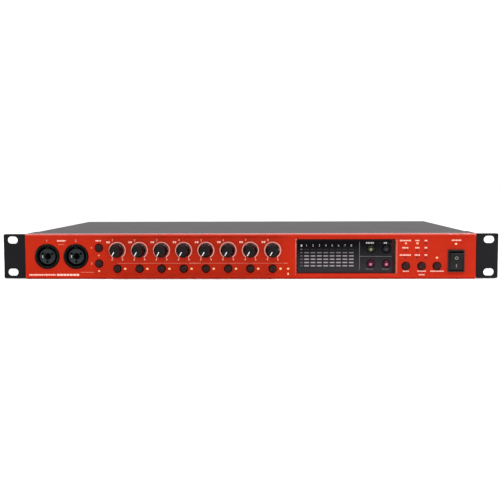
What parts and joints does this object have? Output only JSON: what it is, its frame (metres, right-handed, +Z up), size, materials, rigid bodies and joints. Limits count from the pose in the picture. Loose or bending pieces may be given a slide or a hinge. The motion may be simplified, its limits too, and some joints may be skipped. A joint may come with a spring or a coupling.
{
  "type": "rack audio interface",
  "caption": "One-unit 19-inch rack audio interface with turning gain knobs, push buttons, a meter window, a rocker power switch, front and rear sockets, and slotted ears.",
  "frame": {"origin": "middle of the base of the whole object's box: on the plane of the casing's underside, halfway between the knobs' front faces and the tip of the rear-most socket", "axes": "+X to the operator's right along the rack width, +Y from the front panel to the rear, +Z up"},
  "size_m": [0.4826, 0.3122, 0.044],
  "materials": {
    "bare_metal": "bright plated metal",
    "black_paint": "fine-textured black powder coat on steel plate",
    "black_plastic": "moulded black plastic with a fine texture",
    "button_plastic": "satin dark moulded button cap",
    "circuit_board": "green solder mask with parts",
    "gold_plate": "gold-plated sockets",
    "grey_paint": "fine-textured grey powder coat on folded steel",
    "knob_plastic": "soft satin black moulded knob with a white pointer line",
    "lit_button": "translucent moulded button cap lit from behind",
    "red_paint": "satin red powder coat over an aluminium extrusion",
    "smoked_window": "smoked glossy plastic meter window",
    "wire_sleeve": "dark sleeve over mains wires"
  },
  "bodies": {
    "chassis": {"base_tray": "grey_paint", "top_cover": "grey_paint", "rear_panel": "black_paint", "digital_panel": "black_paint", "front_fascia": "red_paint", "left_rack_ear": "black_paint", "right_rack_ear": "black_paint", "meter_window": "smoked_window", "power_switch_housing": "black_plastic", "front_combo_jack_1": "black_plastic", "front_combo_jack_2": "black_plastic", "rear_combo_jack_3": "black_plastic", "rear_combo_jack_4": "black_plastic", "rear_combo_jack_5": "black_plastic", "rear_combo_jack_6": "black_plastic", "rear_combo_jack_7": "black_plastic", "rear_combo_jack_8": "black_plastic", "line_output_jacks_1": "black_plastic", "line_output_jacks_2": "black_plastic", "line_output_jacks_3": "black_plastic", "line_output_jacks_4": "black_plastic", "line_output_jacks_5": "black_plastic", "midi_sockets": "black_plastic", "coaxial_sockets": "gold_plate", "optical_output_socket": "black_plastic", "optical_input_socket": "black_plastic", "word_clock_socket": "bare_metal", "data_port": "bare_metal", "mains_inlet": "black_plastic", "preamp_control_board": "circuit_board", "display_control_board": "circuit_board", "main_board": "circuit_board", "power_supply_board": "circuit_board", "mains_loom": "wire_sleeve"},
    "gain_knob_1": {"gain_knob_1": "knob_plastic"},
    "gain_knob_2": {"gain_knob_2": "knob_plastic"},
    "gain_knob_3": {"gain_knob_3": "knob_plastic"},
    "gain_knob_4": {"gain_knob_4": "knob_plastic"},
    "gain_knob_5": {"gain_knob_5": "knob_plastic"},
    "gain_knob_6": {"gain_knob_6": "knob_plastic"},
    "gain_knob_7": {"gain_knob_7": "knob_plastic"},
    "gain_knob_8": {"gain_knob_8": "knob_plastic"},
    "instrument_button_1": {"instrument_button_1": "button_plastic"},
    "instrument_button_2": {"instrument_button_2": "button_plastic"},
    "channel_button_1": {"channel_button_1": "button_plastic"},
    "channel_button_2": {"channel_button_2": "button_plastic"},
    "channel_button_3": {"channel_button_3": "button_plastic"},
    "channel_button_4": {"channel_button_4": "button_plastic"},
    "channel_button_5": {"channel_button_5": "button_plastic"},
    "channel_button_6": {"channel_button_6": "button_plastic"},
    "channel_button_7": {"channel_button_7": "button_plastic"},
    "channel_button_8": {"channel_button_8": "button_plastic"},
    "meter_button_1": {"meter_button_1": "lit_button"},
    "meter_button_2": {"meter_button_2": "lit_button"},
    "meter_button_3": {"meter_button_3": "lit_button"},
    "meter_button_4": {"meter_button_4": "lit_button"},
    "sync_button_1": {"sync_button_1": "button_plastic"},
    "sync_button_2": {"sync_button_2": "button_plastic"},
    "sync_button_3": {"sync_button_3": "button_plastic"},
    "power_rocker": {"power_rocker": "black_plastic"}
  },
  "joints": [
    {"name": "gain_1_turn", "type": "hinge", "parent": "chassis", "child": "gain_knob_1", "pos_m": [-0.1289, -0.1411, 0.0278], "axis": [0, 1, 0], "range_deg": [0, 300]},
    {"name": "gain_2_turn", "type": "hinge", "parent": "chassis", "child": "gain_knob_2", "pos_m": [-0.10719, -0.1411, 0.0278], "axis": [0, 1, 0], "range_deg": [0, 300]},
    {"name": "gain_3_turn", "type": "hinge", "parent": "chassis", "child": "gain_knob_3", "pos_m": [-0.08548, -0.1411, 0.0278], "axis": [0, 1, 0], "range_deg": [0, 300]},
    {"name": "gain_4_turn", "type": "hinge", "parent": "chassis", "child": "gain_knob_4", "pos_m": [-0.06377, -0.1411, 0.0278], "axis": [0, 1, 0], "range_deg": [0, 300]},
    {"name": "gain_5_turn", "type": "hinge", "parent": "chassis", "child": "gain_knob_5", "pos_m": [-0.04206, -0.1411, 0.0278], "axis": [0, 1, 0], "range_deg": [0, 300]},
    {"name": "gain_6_turn", "type": "hinge", "parent": "chassis", "child": "gain_knob_6", "pos_m": [-0.02035, -0.1411, 0.0278], "axis": [0, 1, 0], "range_deg": [0, 300]},
    {"name": "gain_7_turn", "type": "hinge", "parent": "chassis", "child": "gain_knob_7", "pos_m": [0.00136, -0.1411, 0.0278], "axis": [0, 1, 0], "range_deg": [0, 300]},
    {"name": "gain_8_turn", "type": "hinge", "parent": "chassis", "child": "gain_knob_8", "pos_m": [0.02307, -0.1411, 0.0278], "axis": [0, 1, 0], "range_deg": [0, 300]},
    {"name": "instrument_1_press", "type": "slide", "parent": "chassis", "child": "instrument_button_1", "axis": [0, 1, 0], "range_m": [0, 0.0009], "stiffness_N_per_m": 400},
    {"name": "instrument_2_press", "type": "slide", "parent": "chassis", "child": "instrument_button_2", "axis": [0, 1, 0], "range_m": [0, 0.0009], "stiffness_N_per_m": 400},
    {"name": "channel_1_press", "type": "slide", "parent": "chassis", "child": "channel_button_1", "axis": [0, 1, 0], "range_m": [0, 0.0009], "stiffness_N_per_m": 400},
    {"name": "channel_2_press", "type": "slide", "parent": "chassis", "child": "channel_button_2", "axis": [0, 1, 0], "range_m": [0, 0.0009], "stiffness_N_per_m": 400},
    {"name": "channel_3_press", "type": "slide", "parent": "chassis", "child": "channel_button_3", "axis": [0, 1, 0], "range_m": [0, 0.0009], "stiffness_N_per_m": 400},
    {"name": "channel_4_press", "type": "slide", "parent": "chassis", "child": "channel_button_4", "axis": [0, 1, 0], "range_m": [0, 0.0009], "stiffness_N_per_m": 400},
    {"name": "channel_5_press", "type": "slide", "parent": "chassis", "child": "channel_button_5", "axis": [0, 1, 0], "range_m": [0, 0.0009], "stiffness_N_per_m": 400},
    {"name": "channel_6_press", "type": "slide", "parent": "chassis", "child": "channel_button_6", "axis": [0, 1, 0], "range_m": [0, 0.0009], "stiffness_N_per_m": 400},
    {"name": "channel_7_press", "type": "slide", "parent": "chassis", "child": "channel_button_7", "axis": [0, 1, 0], "range_m": [0, 0.0009], "stiffness_N_per_m": 400},
    {"name": "channel_8_press", "type": "slide", "parent": "chassis", "child": "channel_button_8", "axis": [0, 1, 0], "range_m": [0, 0.0009], "stiffness_N_per_m": 400},
    {"name": "meter_1_press", "type": "slide", "parent": "chassis", "child": "meter_button_1", "axis": [0, 1, 0], "range_m": [0, 0.0009], "stiffness_N_per_m": 400},
    {"name": "meter_2_press", "type": "slide", "parent": "chassis", "child": "meter_button_2", "axis": [0, 1, 0], "range_m": [0, 0.0009], "stiffness_N_per_m": 400},
    {"name": "meter_3_press", "type": "slide", "parent": "chassis", "child": "meter_button_3", "axis": [0, 1, 0], "range_m": [0, 0.0009], "stiffness_N_per_m": 400},
    {"name": "meter_4_press", "type": "slide", "parent": "chassis", "child": "meter_button_4", "axis": [0, 1, 0], "range_m": [0, 0.0009], "stiffness_N_per_m": 400},
    {"name": "sync_1_press", "type": "slide", "parent": "chassis", "child": "sync_button_1", "axis": [0, 1, 0], "range_m": [0, 0.0009], "stiffness_N_per_m": 400},
    {"name": "sync_2_press", "type": "slide", "parent": "chassis", "child": "sync_button_2", "axis": [0, 1, 0], "range_m": [0, 0.0009], "stiffness_N_per_m": 400},
    {"name": "sync_3_press", "type": "slide", "parent": "chassis", "child": "sync_button_3", "axis": [0, 1, 0], "range_m": [0, 0.0009], "stiffness_N_per_m": 400},
    {"name": "power_rock", "type": "hinge", "parent": "chassis", "child": "power_rocker", "pos_m": [0.2006, -0.1394, 0.0173], "axis": [1, 0, 0], "range_deg": [-20, 0]}
  ]
}
